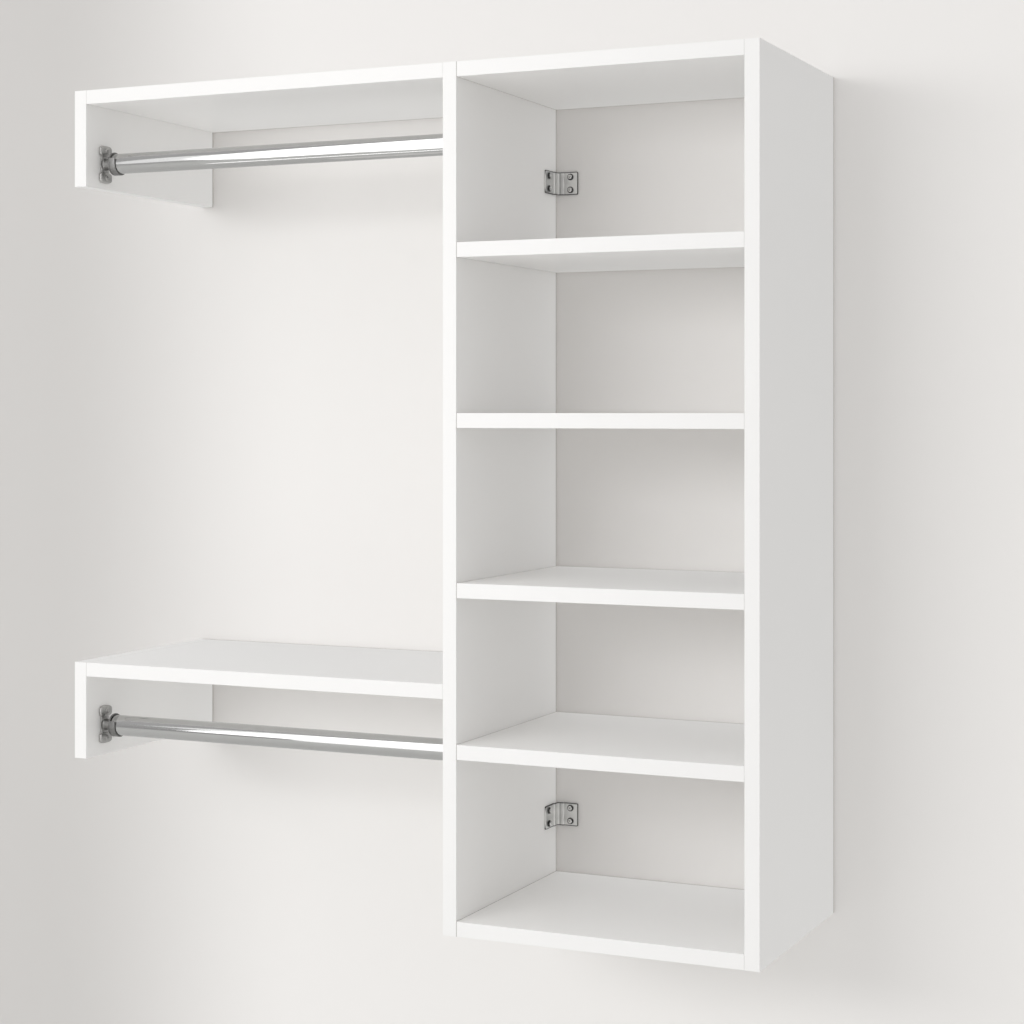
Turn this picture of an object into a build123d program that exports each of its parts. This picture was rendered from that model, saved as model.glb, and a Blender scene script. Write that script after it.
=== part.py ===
from build123d import *
from collections import namedtuple
import os

# Wall-mounted clothes rack: an open shelf tower with two hanging sections on its left side.
# Sizes are in millimetres. X runs right along the wall, Y runs into the wall and Z runs up.
# The origin is on the wall plane, in the middle of the four outermost wall screws of the tower.

os.makedirs("parts", exist_ok=True)

# Boards: melamine-faced chipboard with a plastic band glued on the front edge
board_thickness = 19.0
rack_depth = 320.0
band_thickness = 1.0
band_edge_bevel = 0.3

# Tower, with its bays counted from the bottom up and its inner shelves housed in grooves
tower_inner_width = 380.0
bottom_bay_height = 204.0
second_bay_height = 185.0
third_bay_height = 195.5
fourth_bay_height = 196.5
top_bay_height = 209.0
groove_depth = 5.2
groove_end_gap = 0.2

# Hanging sections, measured from the underside of the tower
hanging_inner_width = 547.0
lower_hanging_shelf_height = 317.5
end_panel_height = 132.0

# Hanging rods: chromed tubes that lie in open-topped cradles
rod_diameter = 28.0
rod_wall = 1.2
rod_setback = 41.0
upper_rod_drop = 79.0
lower_rod_drop = 71.0
rod_end_gap = 0.5
rod_seat_clearance = 0.3

# Rod sockets, die-cast. On the end panels: a thin waist between two thick bevelled ears, a neck and a cradle.
# On the tower, where the upright hides them: the same cradle straight on a wide flange.
flange_thickness = 3.0
ear_width = 26.0
ear_height = 15.0
ear_thickness = 5.6
ear_corner_bevel = 3.4
ear_top_bevel = 1.4
ear_offset = 18.5
waist_width = 16.0
neck_radius = 7.5
neck_length = 15.0
cradle_back = 2.0
cradle_wall = 1.7
cradle_length = 9.0
cradle_arm_rise = 7.0
wide_flange_width = 62.0
wide_flange_height = 34.0
wide_flange_bevel = 8.0
wide_flange_hole_offset = 23.0

# Wall brackets: pressed steel angles with a step in each leg beside the bend
bracket_thickness = 2.0
bracket_height = 32.0
panel_leg_length = 42.0
wall_leg_length = 33.0
panel_leg_band = 14.0
wall_leg_band = 11.5
bracket_step = 1.6
bracket_bend_radius = 2.6
bracket_corner_bevel = 1.2
bracket_hole_pitch = 18.0
panel_leg_hole_inset = 11.0
wall_leg_hole_inset = 11.0
top_bracket_drop = 104.0
bottom_bracket_rise = 81.0
shelf_bracket_inset = 70.0

# Pan-head screws, plain where they are threaded
bracket_screw_radius = 2.0
bracket_screw_length = 15.0
wall_screw_radius = 2.25
wall_screw_neck_radius = 1.8
wall_screw_length = 45.0
bracket_head_radius = 4.6
bracket_head_height = 2.8
socket_screw_radius = 1.75
socket_screw_length = 16.0
socket_head_radius = 4.0
socket_head_height = 2.4
head_taper_degrees = 25.0
screw_clearance = 0.1

# Cam locks with their bolts, and the dowels that place the boards
cam_radius = 7.5
cam_height = 13.0
cam_setback = 24.0
cam_slot_width = 1.4
cam_slot_depth = 1.5
cam_slot_length_share = 0.8
bolt_thread_radius = 2.5
bolt_thread_length = 11.0
bolt_shank_radius = 3.0
bolt_bore_clearance = 0.8
dowel_radius = 4.0
dowel_length = 30.0
dowel_depth_in_panel = 10.0
dowel_end_gap = 0.5
fitting_clearance = 0.1
tower_cam_inset = 40.0
hanging_cam_inset = 72.0
dowel_stagger = 20.0
cut_overrun = 1.0

# Sides that small round fittings are drawn with: fewer where a board or a screw head hides them
hidden_sides = 6
shown_sides = 12

RIGHT = Vector(1, 0, 0)
LEFT = Vector(-1, 0, 0)
BACK = Vector(0, 1, 0)
UP = Vector(0, 0, 1)
DOWN = Vector(0, 0, -1)
LOW_CORNER = (Align.MIN, Align.MIN, Align.MIN)

# Places that follow from the sizes above
tower_height = (
    bottom_bay_height + second_bay_height + third_bay_height + fourth_bay_height
    + top_bay_height + 6 * board_thickness
)
bottom_bracket_height = board_thickness + bottom_bracket_rise
top_bracket_height = tower_height - board_thickness - top_bracket_drop
tower_base_z = -(bottom_bracket_height + top_bracket_height) / 2
tower_top_z = tower_base_z + tower_height
top_board_z = tower_top_z - board_thickness
shelf_1_z = tower_base_z + board_thickness + bottom_bay_height
shelf_2_z = shelf_1_z + board_thickness + second_bay_height
shelf_3_z = shelf_2_z + board_thickness + third_bay_height
shelf_4_z = shelf_3_z + board_thickness + fourth_bay_height
lower_shelf_top_z = tower_base_z + lower_hanging_shelf_height
lower_shelf_z = lower_shelf_top_z - board_thickness
tower_right_x = tower_inner_width / 2
tower_left_x = -tower_right_x
hanging_right_x = tower_left_x - board_thickness
hanging_left_x = hanging_right_x - hanging_inner_width
front_y = -rack_depth
core_front_y = front_y + band_thickness
rod_y = front_y + rod_setback
rod_radius = rod_diameter / 2
arm_socket_base = flange_thickness + neck_length + cradle_back
rod_left_x = hanging_left_x + arm_socket_base + rod_end_gap
rod_right_x = hanging_right_x - flange_thickness - rod_end_gap

# Places of the cams and dowels, from front to back
tower_cam_ys = (front_y + tower_cam_inset, -tower_cam_inset)
hanging_cam_ys = (front_y + hanging_cam_inset, -hanging_cam_inset)
tower_dowel_ys = (front_y / 2 - dowel_stagger,)
hanging_dowel_ys = (front_y / 2 + dowel_stagger,)

# The boards that cams draw up against an upright at each end
Board = namedtuple("Board", "name left_panel right_panel left_x right_x z cam_side cam_ys dowel_ys")
tower = ("tower_left_panel", "tower_right_panel", tower_left_x, tower_right_x)
upper_hanging = ("upper_end_panel", "tower_left_panel", hanging_left_x, hanging_right_x)
lower_hanging = ("lower_end_panel", "tower_left_panel", hanging_left_x, hanging_right_x)
cam_boards = (
    Board("tower_bottom_board", *tower, tower_base_z, DOWN, tower_cam_ys, tower_dowel_ys),
    Board("tower_top_board", *tower, top_board_z, UP, tower_cam_ys, tower_dowel_ys),
    Board("upper_hanging_shelf", *upper_hanging, top_board_z, UP, hanging_cam_ys, hanging_dowel_ys),
    Board("lower_hanging_shelf", *lower_hanging, lower_shelf_z, DOWN, hanging_cam_ys, hanging_dowel_ys),
)

# The inner shelves of the tower, each with its ends in grooves of the uprights
tower_shelves = (
    ("tower_shelf_1", shelf_1_z),
    ("tower_shelf_2", shelf_2_z),
    ("tower_shelf_3", shelf_3_z),
    ("tower_shelf_4", shelf_4_z),
)

# The uprights, each from its left face, its underside and its top
Upright = namedtuple("Upright", "name left_x z top_z grooved")
uprights = (
    Upright("tower_left_panel", hanging_right_x, tower_base_z, tower_top_z, True),
    Upright("tower_right_panel", tower_right_x, tower_base_z, tower_top_z, True),
    Upright("upper_end_panel", hanging_left_x - board_thickness, tower_top_z - end_panel_height,
            tower_top_z, False),
    Upright("lower_end_panel", hanging_left_x - board_thickness, lower_shelf_top_z - end_panel_height,
            lower_shelf_top_z, False),
)

# The rods and their sockets, each socket on the face that carries it and pointing along the rod:
# whether a neck carries its cradle, and how far its screws are from its middle, which way and on what
Socket = namedtuple("Socket", "name panel x z way necked holes_along hole_offset seat")
arm_holes = (UP, ear_offset, ear_thickness)
wide_flange_holes = (BACK, wide_flange_hole_offset, flange_thickness)
rods = (("upper", top_board_z - upper_rod_drop), ("lower", lower_shelf_z - lower_rod_drop))
sockets = tuple(
    socket
    for level, z in rods
    for socket in (
        Socket(f"{level}_left_rod_socket", f"{level}_end_panel", hanging_left_x, z, RIGHT, True, *arm_holes),
        Socket(f"{level}_right_rod_socket", "tower_left_panel", hanging_right_x, z, LEFT, False,
               *wide_flange_holes),
    )
)

# The wall brackets, each from the corner where its board meets the wall
Bracket = namedtuple("Bracket", "name board corner along_wall bend_axis")
top_bracket_z = tower_base_z + top_bracket_height
bottom_bracket_z = tower_base_z + bottom_bracket_height
shelf_bracket_x = hanging_left_x + shelf_bracket_inset
brackets = (
    Bracket("tower_top_left_bracket", "tower_left_panel", (tower_left_x, 0, top_bracket_z), RIGHT, DOWN),
    Bracket("tower_top_right_bracket", "tower_right_panel", (tower_right_x, 0, top_bracket_z), LEFT, UP),
    Bracket("tower_bottom_left_bracket", "tower_left_panel", (tower_left_x, 0, bottom_bracket_z), RIGHT,
            DOWN),
    Bracket("tower_bottom_right_bracket", "tower_right_panel", (tower_right_x, 0, bottom_bracket_z), LEFT,
            UP),
    Bracket("upper_shelf_bracket", "upper_hanging_shelf", (shelf_bracket_x, 0, tower_top_z), UP, RIGHT),
    Bracket("lower_shelf_bracket", "lower_hanging_shelf", (shelf_bracket_x, 0, lower_shelf_z), DOWN, LEFT),
)


def bracket_plane(bracket):
    """Plane of a bracket's section: x runs along the wall, y off the wall, z along the bend."""
    return Plane(origin=bracket.corner, x_dir=bracket.along_wall, z_dir=bracket.bend_axis)


def bracket_hole_planes(bracket):
    """Planes at the holes of both legs: on the face that touches the board, then the wall."""
    plane = bracket_plane(bracket)
    off_board = panel_leg_length - panel_leg_hole_inset
    off_corner = wall_leg_length - wall_leg_hole_inset
    along_bend = (-bracket_hole_pitch / 2, bracket_hole_pitch / 2)
    on_board = [
        Plane(origin=plane.from_local_coords((0, off_board, z)), x_dir=plane.z_dir, z_dir=plane.x_dir)
        for z in along_bend
    ]
    on_wall = [
        Plane(origin=plane.from_local_coords((off_corner, 0, z)), x_dir=plane.z_dir, z_dir=plane.y_dir)
        for z in along_bend
    ]
    return on_board, on_wall


def socket_hole_planes(socket):
    """Planes at the two screw holes of a rod socket, on the face that carries it."""
    middle = Vector(socket.x, rod_y, socket.z)
    return [
        Plane(origin=middle + socket.holes_along * offset, x_dir=UP, z_dir=socket.way)
        for offset in (-socket.hole_offset, socket.hole_offset)
    ]


def end_planes(board, ys, panel=None):
    """Planes on a board's ends, facing into the board; those on one named upright, or on both."""
    z = board.z + board_thickness / 2
    ends = ((board.left_panel, board.left_x, RIGHT), (board.right_panel, board.right_x, LEFT))
    return [
        Plane(origin=(x, y, z), x_dir=board.cam_side, z_dir=way)
        for name, x, way in ends
        for y in ys
        if panel in (None, name)
    ]


def cam_planes(board):
    """Planes at the cams of a board, on the face that they are turned from, facing out of it."""
    return [
        Plane(origin=p.origin + p.z_dir * cam_setback + p.x_dir * (board_thickness / 2),
              x_dir=-p.z_dir, z_dir=p.x_dir)
        for p in end_planes(board, board.cam_ys)
    ]


def drill(planes, radius, depth, sides=hidden_sides):
    """Holes into the part being built, against the normals of their planes; a negative depth runs along."""
    if planes:
        with BuildSketch(*planes) as mouths:
            RegularPolygon(radius, sides, major_radius=False)
        extrude(mouths.sketch, amount=-depth, mode=Mode.SUBTRACT)


def drill_bracket_screws(board_name):
    """Pilot holes into a board for the screws of the brackets that it carries."""
    for bracket in brackets:
        if bracket.board == board_name:
            drill(bracket_hole_planes(bracket)[0], bracket_screw_radius + screw_clearance,
                  bracket_screw_length - bracket_thickness + screw_clearance)


def write_node(name, part):
    """Label one finished node and write its file."""
    part.label = name
    export_step(part, f"parts/{name}.step")


def lay_band(name, length_axis, corner, size):
    """One front edge band, from its low corner and its size, with its long front edges bevelled."""
    with BuildPart() as band:
        with Locations(corner):
            Box(*size, align=LOW_CORNER)
        chamfer(band.faces().sort_by(Axis.Y)[0].edges().filter_by(length_axis), band_edge_bevel)
    write_node(f"{name}_edge_band", band.part)


# Uprights: grooved for the inner shelves and drilled for bolts, dowels and screws
for upright in uprights:
    with BuildPart() as panel:
        with Locations((upright.left_x, core_front_y, upright.z)):
            Box(board_thickness, -core_front_y, upright.top_z - upright.z, align=LOW_CORNER)
        if upright.grooved:
            with Locations(*[(tower_left_x - groove_depth, core_front_y, z) for _, z in tower_shelves]):
                Box(tower_inner_width + 2 * groove_depth, -core_front_y, board_thickness,
                    align=LOW_CORNER, mode=Mode.SUBTRACT)
        for board in cam_boards:
            drill(end_planes(board, board.cam_ys, upright.name), bolt_thread_radius + fitting_clearance,
                  bolt_thread_length + fitting_clearance)
            drill(end_planes(board, board.dowel_ys, upright.name), dowel_radius + fitting_clearance,
                  dowel_depth_in_panel + dowel_end_gap)
        for socket in sockets:
            if socket.panel == upright.name:
                drill(socket_hole_planes(socket), socket_screw_radius + screw_clearance,
                      socket_screw_length - socket.seat + screw_clearance)
        drill_bracket_screws(upright.name)
    write_node(upright.name, panel.part)
    lay_band(upright.name, Axis.Z, (upright.left_x, front_y, upright.z),
             (board_thickness, band_thickness, upright.top_z - upright.z))

# Inner shelves of the tower: their ends reach into the grooves, behind the bands of the uprights
shelf_tongue = groove_depth - groove_end_gap
for name, z in tower_shelves:
    with BuildPart() as shelf:
        with Locations((tower_left_x - shelf_tongue, core_front_y, z)):
            Box(tower_inner_width + 2 * shelf_tongue, -core_front_y, board_thickness, align=LOW_CORNER)
    write_node(name, shelf.part)
    lay_band(name, Axis.X, (tower_left_x, front_y, z),
             (tower_inner_width, band_thickness, board_thickness))

# Cam boards: bored for the cams, bolts and dowels in their ends
for board in cam_boards:
    width = board.right_x - board.left_x
    with BuildPart() as shelf:
        with Locations((board.left_x, core_front_y, board.z)):
            Box(width, -core_front_y, board_thickness, align=LOW_CORNER)
        drill(end_planes(board, board.cam_ys), bolt_shank_radius + bolt_bore_clearance, -cam_setback)
        drill(cam_planes(board), cam_radius + fitting_clearance, cam_height + fitting_clearance, shown_sides)
        drill(end_planes(board, board.dowel_ys), dowel_radius + fitting_clearance,
              dowel_depth_in_panel - dowel_length - dowel_end_gap)
        drill_bracket_screws(board.name)
    write_node(board.name, shelf.part)
    lay_band(board.name, Axis.X, (board.left_x, front_y, board.z), (width, band_thickness, board_thickness))

# Hanging rods: plain tubes that end just short of the sockets' backs
for level, z in rods:
    with BuildPart() as rod:
        with BuildSketch(Plane(origin=(rod_left_x, rod_y, z), z_dir=RIGHT)):
            Circle(rod_radius)
            Circle(rod_radius - rod_wall, mode=Mode.SUBTRACT)
        extrude(amount=rod_right_x - rod_left_x)
    write_node(f"{level}_rod", rod.part)

# Rod sockets: a flange that the screws clamp, and the cradle under the rod, on a neck or straight on the flange
cradle_inner = rod_radius + rod_seat_clearance
cradle_outer = cradle_inner + cradle_wall
for socket in sockets:
    face = Plane(origin=(socket.x, rod_y, socket.z), x_dir=(0, socket.way.X, 0), z_dir=socket.way)
    with BuildPart() as casting:
        if socket.necked:
            with BuildSketch(face) as ears:
                with Locations((0, -ear_offset), (0, ear_offset)):
                    Rectangle(ear_width, ear_height)
                chamfer(ears.vertices(), ear_corner_bevel)
            extrude(amount=ear_thickness)
            ear_tops = casting.faces().filter_by(face).sort_by(Axis(face.origin, face.z_dir))[-2:]
            chamfer(ear_tops.edges(), ear_top_bevel)
            with BuildSketch(face):
                Rectangle(waist_width, 2 * ear_offset)
            extrude(amount=flange_thickness)
            with BuildSketch(face.offset(flange_thickness)):
                RegularPolygon(neck_radius, shown_sides, major_radius=False)
            extrude(amount=neck_length)
            base = face.offset(arm_socket_base)
            with BuildSketch(base.offset(-cradle_back)):
                Circle(cradle_outer)
                with Locations((0, cradle_arm_rise)):
                    Rectangle(2 * cradle_outer, cradle_outer, align=(Align.CENTER, Align.MIN),
                              mode=Mode.SUBTRACT)
                Rectangle(2 * cradle_outer, cradle_arm_rise, align=(Align.CENTER, Align.MIN))
            extrude(amount=cradle_back)
        else:
            base = face.offset(flange_thickness)
            with BuildSketch(face) as flange:
                Rectangle(wide_flange_width, wide_flange_height)
                chamfer(flange.vertices(), wide_flange_bevel)
            extrude(amount=flange_thickness)
        with BuildSketch(base):
            Circle(cradle_outer)
            Rectangle(2 * cradle_outer, cradle_outer, align=(Align.CENTER, Align.MIN), mode=Mode.SUBTRACT)
            Rectangle(2 * cradle_outer, cradle_arm_rise, align=(Align.CENTER, Align.MIN))
            Circle(cradle_inner, mode=Mode.SUBTRACT)
            Rectangle(2 * cradle_inner, cradle_outer, align=(Align.CENTER, Align.MIN), mode=Mode.SUBTRACT)
        extrude(amount=cradle_length)
        drill([plane.offset(socket.seat) for plane in socket_hole_planes(socket)],
              socket_screw_radius + screw_clearance, socket.seat + cut_overrun)
    write_node(socket.name, casting.part)

# Wall brackets: a strip bent round the corner, drilled in both legs
for bracket in brackets:
    section = bracket_plane(bracket)
    with BuildPart() as angle:
        with BuildSketch(section.offset(-bracket_height / 2)):
            with BuildLine():
                FilletPolyline(
                    (0, panel_leg_length),
                    (0, panel_leg_band),
                    (bracket_step, panel_leg_band - bracket_step),
                    (bracket_step, bracket_step),
                    (wall_leg_band - bracket_step, bracket_step),
                    (wall_leg_band, 0),
                    (wall_leg_length, 0),
                    radius=[0, 0, bracket_bend_radius + bracket_thickness, 0, 0],
                )
                offset(amount=bracket_thickness, side=Side.LEFT)
            make_face()
        extrude(amount=bracket_height)
        off_wall = Axis(section.origin, section.y_dir)
        along_wall = Axis(section.origin, section.x_dir)
        chamfer(angle.edges().filter_by(along_wall).sort_by(off_wall)[-2:], bracket_corner_bevel)
        chamfer(angle.edges().filter_by(off_wall).sort_by(along_wall)[-2:], bracket_corner_bevel)
        on_board, on_wall = bracket_hole_planes(bracket)
        drill([p.offset(bracket_thickness) for p in on_board], bracket_screw_radius + screw_clearance,
              bracket_thickness + cut_overrun)
        drill([p.offset(bracket_thickness) for p in on_wall], wall_screw_radius + screw_clearance,
              bracket_thickness + cut_overrun)
    write_node(bracket.name, angle.part)


def write_copies(name, piece, planes):
    """One node that holds a separate copy of a small fitting on each plane."""
    with BuildPart() as group:
        with Locations(*planes):
            add(piece)
    write_node(name, group.part)


def make_screw(shank, length, head_radius, head_height):
    """Pan-head screw on the Z axis from the sketch of its shank: the underside of its head at zero."""
    with BuildPart() as screw:
        extrude(shank, amount=-length)
        with BuildSketch():
            RegularPolygon(head_radius, shown_sides, major_radius=False)
        extrude(amount=head_height, taper=head_taper_degrees)
    return screw.part


def screw_core(radius):
    """Sketch of a shank whose thread is buried in a board."""
    with BuildSketch() as core:
        RegularPolygon(radius, hidden_sides, major_radius=False)
    return core.sketch


# Screws: those into the wall are round from the wall plane on, with a thinner neck in the bracket
bracket_screw = make_screw(screw_core(bracket_screw_radius), bracket_screw_length, bracket_head_radius,
                           bracket_head_height)
socket_screw = make_screw(screw_core(socket_screw_radius), socket_screw_length, socket_head_radius,
                          socket_head_height)
wall_screw_neck = make_screw(screw_core(wall_screw_neck_radius), bracket_thickness, bracket_head_radius,
                             bracket_head_height)
with BuildPart() as wall_screw:
    add(wall_screw_neck)
    with BuildSketch(Plane.XY.offset(-bracket_thickness)):
        Circle(wall_screw_radius)
    extrude(amount=bracket_thickness - wall_screw_length)
write_copies("wall_screws", wall_screw.part,
             [p.offset(bracket_thickness) for b in brackets for p in bracket_hole_planes(b)[1]])
write_copies("bracket_screws", bracket_screw,
             [p.offset(bracket_thickness) for b in brackets for p in bracket_hole_planes(b)[0]])
write_copies("socket_screws", socket_screw,
             [p.offset(s.seat) for s in sockets for p in socket_hole_planes(s)])

# Cam bolts: a thread in the upright and a shank that reaches into the cam
with BuildPart() as cam_bolt:
    with BuildSketch():
        RegularPolygon(bolt_thread_radius, hidden_sides, major_radius=False)
    extrude(amount=-bolt_thread_length)
    with BuildSketch():
        RegularPolygon(bolt_shank_radius, hidden_sides, major_radius=False)
    extrude(amount=cam_setback)
write_copies("cam_bolts", cam_bolt.part, [p for b in cam_boards for p in end_planes(b, b.cam_ys)])

# Cam locks: discs that lie flush in the board, with a mouth for the bolt and a driver slot
mouth_width = 2 * (bolt_shank_radius + bolt_bore_clearance)
with BuildPart() as cam_lock:
    with BuildSketch():
        RegularPolygon(cam_radius, shown_sides, major_radius=False)
    extrude(amount=-cam_height)
    with Locations((-mouth_width / 2, 0, mouth_width / 2 - board_thickness / 2)):
        Box(2 * cam_radius, mouth_width, cam_height, align=(Align.MIN, Align.CENTER, Align.MAX),
            mode=Mode.SUBTRACT)
    Box(2 * cam_radius * cam_slot_length_share, cam_slot_width, 2 * cam_slot_depth, mode=Mode.SUBTRACT)
write_copies("cam_locks", cam_lock.part, [p for b in cam_boards for p in cam_planes(b)])

# Dowels: a third of each sits in the upright and the rest in the board
with BuildPart() as dowel:
    with BuildSketch(Plane.XY.offset(-dowel_depth_in_panel)):
        RegularPolygon(dowel_radius, hidden_sides, major_radius=False)
    extrude(amount=dowel_length)
write_copies("dowels", dowel.part, [p for b in cam_boards for p in end_planes(b, b.dowel_ys)])
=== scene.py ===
import bmesh
import bpy
import numpy as np
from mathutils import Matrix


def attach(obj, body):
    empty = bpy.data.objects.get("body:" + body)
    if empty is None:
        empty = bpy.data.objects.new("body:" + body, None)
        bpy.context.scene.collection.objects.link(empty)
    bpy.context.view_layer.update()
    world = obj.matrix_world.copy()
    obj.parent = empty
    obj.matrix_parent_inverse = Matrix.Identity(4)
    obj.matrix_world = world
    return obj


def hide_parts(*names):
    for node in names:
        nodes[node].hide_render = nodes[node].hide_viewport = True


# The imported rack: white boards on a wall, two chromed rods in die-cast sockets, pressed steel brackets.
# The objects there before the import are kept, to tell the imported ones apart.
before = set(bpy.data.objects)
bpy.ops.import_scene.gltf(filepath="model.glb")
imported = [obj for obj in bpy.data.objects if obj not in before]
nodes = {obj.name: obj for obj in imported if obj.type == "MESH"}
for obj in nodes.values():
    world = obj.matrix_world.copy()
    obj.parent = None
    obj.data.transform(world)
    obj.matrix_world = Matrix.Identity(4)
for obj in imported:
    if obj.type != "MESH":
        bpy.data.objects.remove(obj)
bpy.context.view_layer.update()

# Camera: the viewing angle of the picture, level and turned 24.5 degrees to the left.
# A downward shift frames the rack as the picture does, with its uprights vertical.
camera_data = bpy.data.cameras.new("picture_camera")
camera_data.lens = 72.86
camera_data.sensor_width = 36.0
camera_data.shift_y = -0.0969
camera = bpy.data.objects.new("picture_camera", camera_data)
camera.location = (0.9588, -2.6686, 0.1203)
camera.rotation_euler = (np.pi / 2, 0.0, 0.428)
bpy.context.collection.objects.link(camera)
bpy.context.scene.camera = camera
bpy.context.scene.view_settings.view_transform = "Standard"

# Uprights and end panels: chipboard under a white melamine film pressed on hot paper, so the face has a
# fine pebble and a satin shine. They are sawn to size. Their rear edges stay bare and stand on the wall.
MM = 0.001


class Value:
    """One output socket in a material. Arithmetic on it adds Math nodes, so 1 - mask works."""

    def __init__(self, tree, socket):
        self.tree = tree
        self.socket = socket

    @classmethod
    def node(cls, tree, kind, settings=None, inputs=None, output=0):
        """Adds one node: its settings are set first, then its inputs by place; gives one output."""
        made = tree.nodes.new(kind)
        for setting, choice in (settings or {}).items():
            setattr(made, setting, choice)
        for place, given in (inputs or {}).items():
            if isinstance(given, Value):
                tree.links.new(given.socket, made.inputs[place])
            else:
                made.inputs[place].default_value = given
        return cls(tree, made.outputs[output])

    def math(self, operation, other=0.0, clamp=False):
        """One Math node on this value and another."""
        return Value.node(
            self.tree, "ShaderNodeMath", {"operation": operation, "use_clamp": clamp}, {0: self, 1: other})

    def __add__(self, other):
        return self.math("ADD", other)

    __radd__ = __add__

    def __mul__(self, other):
        return self.math("MULTIPLY", other)

    __rmul__ = __mul__

    def __sub__(self, other):
        return self.math("SUBTRACT", other)

    def __rsub__(self, other):
        return Value.node(self.tree, "ShaderNodeMath", {"operation": "SUBTRACT"}, {0: other, 1: self})

    def __truediv__(self, other):
        return self.math("DIVIDE", other)

    def __abs__(self):
        return self.math("ABSOLUTE")

    def larger(self, other):
        """The larger of the two."""
        return self.math("MAXIMUM", other)

    def clamped(self):
        """The same value, held between nought and one."""
        return self.math("MULTIPLY", 1.0, clamp=True)

    def within(self, centre, reach, soft):
        """One where the value is nearer to the centre than the reach, falling to nought over soft."""
        return ((reach + soft - abs(self - centre)) / soft).clamped()


def object_place(tree):
    """The point on the piece, in metres, as one vector and as its three parts."""
    place = Value.node(tree, "ShaderNodeTexCoord", output="Object")
    parts = [Value.node(tree, "ShaderNodeSeparateXYZ", inputs={0: place}, output=axis) for axis in "XYZ"]
    return place, parts


def noise(tree, place, scale, detail=3.0, roughness=0.5):
    """Fractal noise from nought to one with so many waves to the metre."""
    return Value.node(
        tree, "ShaderNodeTexNoise",
        inputs={"Vector": place, "Scale": scale, "Detail": detail, "Roughness": roughness})


def tint(tree, factor, first, second):
    """The colour between two, by a factor. Each is three numbers or a value."""
    first, second = (end if isinstance(end, Value) else (*end, 1.0) for end in (first, second))
    return Value.node(
        tree, "ShaderNodeMix", {"data_type": "RGBA"}, {0: factor, 6: first, 7: second}, output=2)


def new_finish(name, colour, metal=0.0, shine=0.5):
    """A material with one surface shader, its flat colour and metalness set; gives its tree and shader."""
    finish = bpy.data.materials.new(name)
    finish.use_nodes = True
    finish.diffuse_color = (*colour, 1.0)
    surface = finish.node_tree.nodes["Principled BSDF"]
    surface.inputs["Base Color"].default_value = (*colour, 1.0)
    surface.inputs["Metallic"].default_value = metal
    surface.inputs["Specular IOR Level"].default_value = shine
    return finish, finish.node_tree, surface


def feed(tree, surface, place, value):
    """Links a value to one socket of the surface shader."""
    tree.links.new(value.socket, surface.inputs[place])


def raise_surface(tree, surface, height, distance, strength):
    """Bump from a height between nought and one, over a distance in metres."""
    bump = Value.node(
        tree, "ShaderNodeBump",
        inputs={"Height": height, "Distance": distance, "Strength": strength})
    feed(tree, surface, "Normal", bump)


melamine_white = (0.942, 0.934, 0.922)
melamine_shade = (0.928, 0.920, 0.908)
joint_shade_colour = (0.42, 0.40, 0.38)
joint_shade_reach = 0.45 * MM
joint_shade_soft = 0.60 * MM
wall_shadow_reach = 1.6 * MM
wall_shadow_soft = 2.4 * MM
wall_shadow_strength = 0.8
bare_reach = 0.02 * MM
bare_chips = (0.44, 0.34, 0.24), (0.80, 0.70, 0.56)


def with_painted_joint_shade(tree, colour, x, y, joint_shades):
    """The colour with a painted hairline of shade where the board meets another, at these places along X,
    each with its share of shade, and a broader painted shadow where it meets the wall."""
    # Painted shade: a band along the rear of each face where it lies on the wall, and a hairline at each
    # joint.
    painted_gap_shade = y.within(0.0, wall_shadow_reach, wall_shadow_soft) * wall_shadow_strength
    for at, shaded in joint_shades:
        painted_gap_shade = painted_gap_shade.larger(x.within(at * MM, joint_shade_reach, joint_shade_soft) * shaded)
    return tint(tree, painted_gap_shade, colour, joint_shade_colour)


def melamine(name, joint_shades=()):
    """White melamine: broad faint drifts of tone, a fine pebble, and painted shade in each joint and along
    the wall. The rear edge, which lies on the wall, is bare chipboard and duller."""
    finish, tree, surface = new_finish(name, melamine_white)
    place, (x, y, _) = object_place(tree)
    drift = noise(tree, place, 5.0, 3.0)
    pebble = noise(tree, place, 900.0, 2.0, 0.6)
    colour = with_painted_joint_shade(tree, tint(tree, drift, melamine_shade, melamine_white), x, y, joint_shades)
    chips = tint(tree, noise(tree, place, 420.0, 5.0, 0.7), *bare_chips)
    rear = y.within(0.0, bare_reach, bare_reach)
    feed(tree, surface, "Base Color", tint(tree, rear, colour, chips))
    feed(tree, surface, "Roughness", drift * 0.06 + pebble * 0.05 + rear * 0.45 + 0.36)
    raise_surface(tree, surface, pebble, 0.02 * MM, 0.6)
    return finish


def dress(finish, names):
    """Each of these CAD nodes keeps its shape and gets this finish."""
    for name in names:
        mesh = nodes[name].data
        mesh.materials.clear()
        mesh.materials.append(finish)


standing_boards = ["tower_left_panel", "tower_right_panel", "upper_end_panel", "lower_end_panel"]
dress(melamine("melamine_upright"), standing_boards)

# Shelves of the tower: the same board, held between the uprights in grooves or by cams. Only a painted
# hairline of shade shows where each end meets its upright, and it is darkest at the left one.
tower_inner_faces = (-190.0, 190.0)
tower_joint_shades = list(zip(tower_inner_faces, (1.0, 0.2)))
tower_boards = ["tower_bottom_board", "tower_top_board", "tower_shelf_1", "tower_shelf_2", "tower_shelf_3",
                "tower_shelf_4"]
dress(melamine("melamine_tower_shelf", tower_joint_shades), tower_boards)

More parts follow.
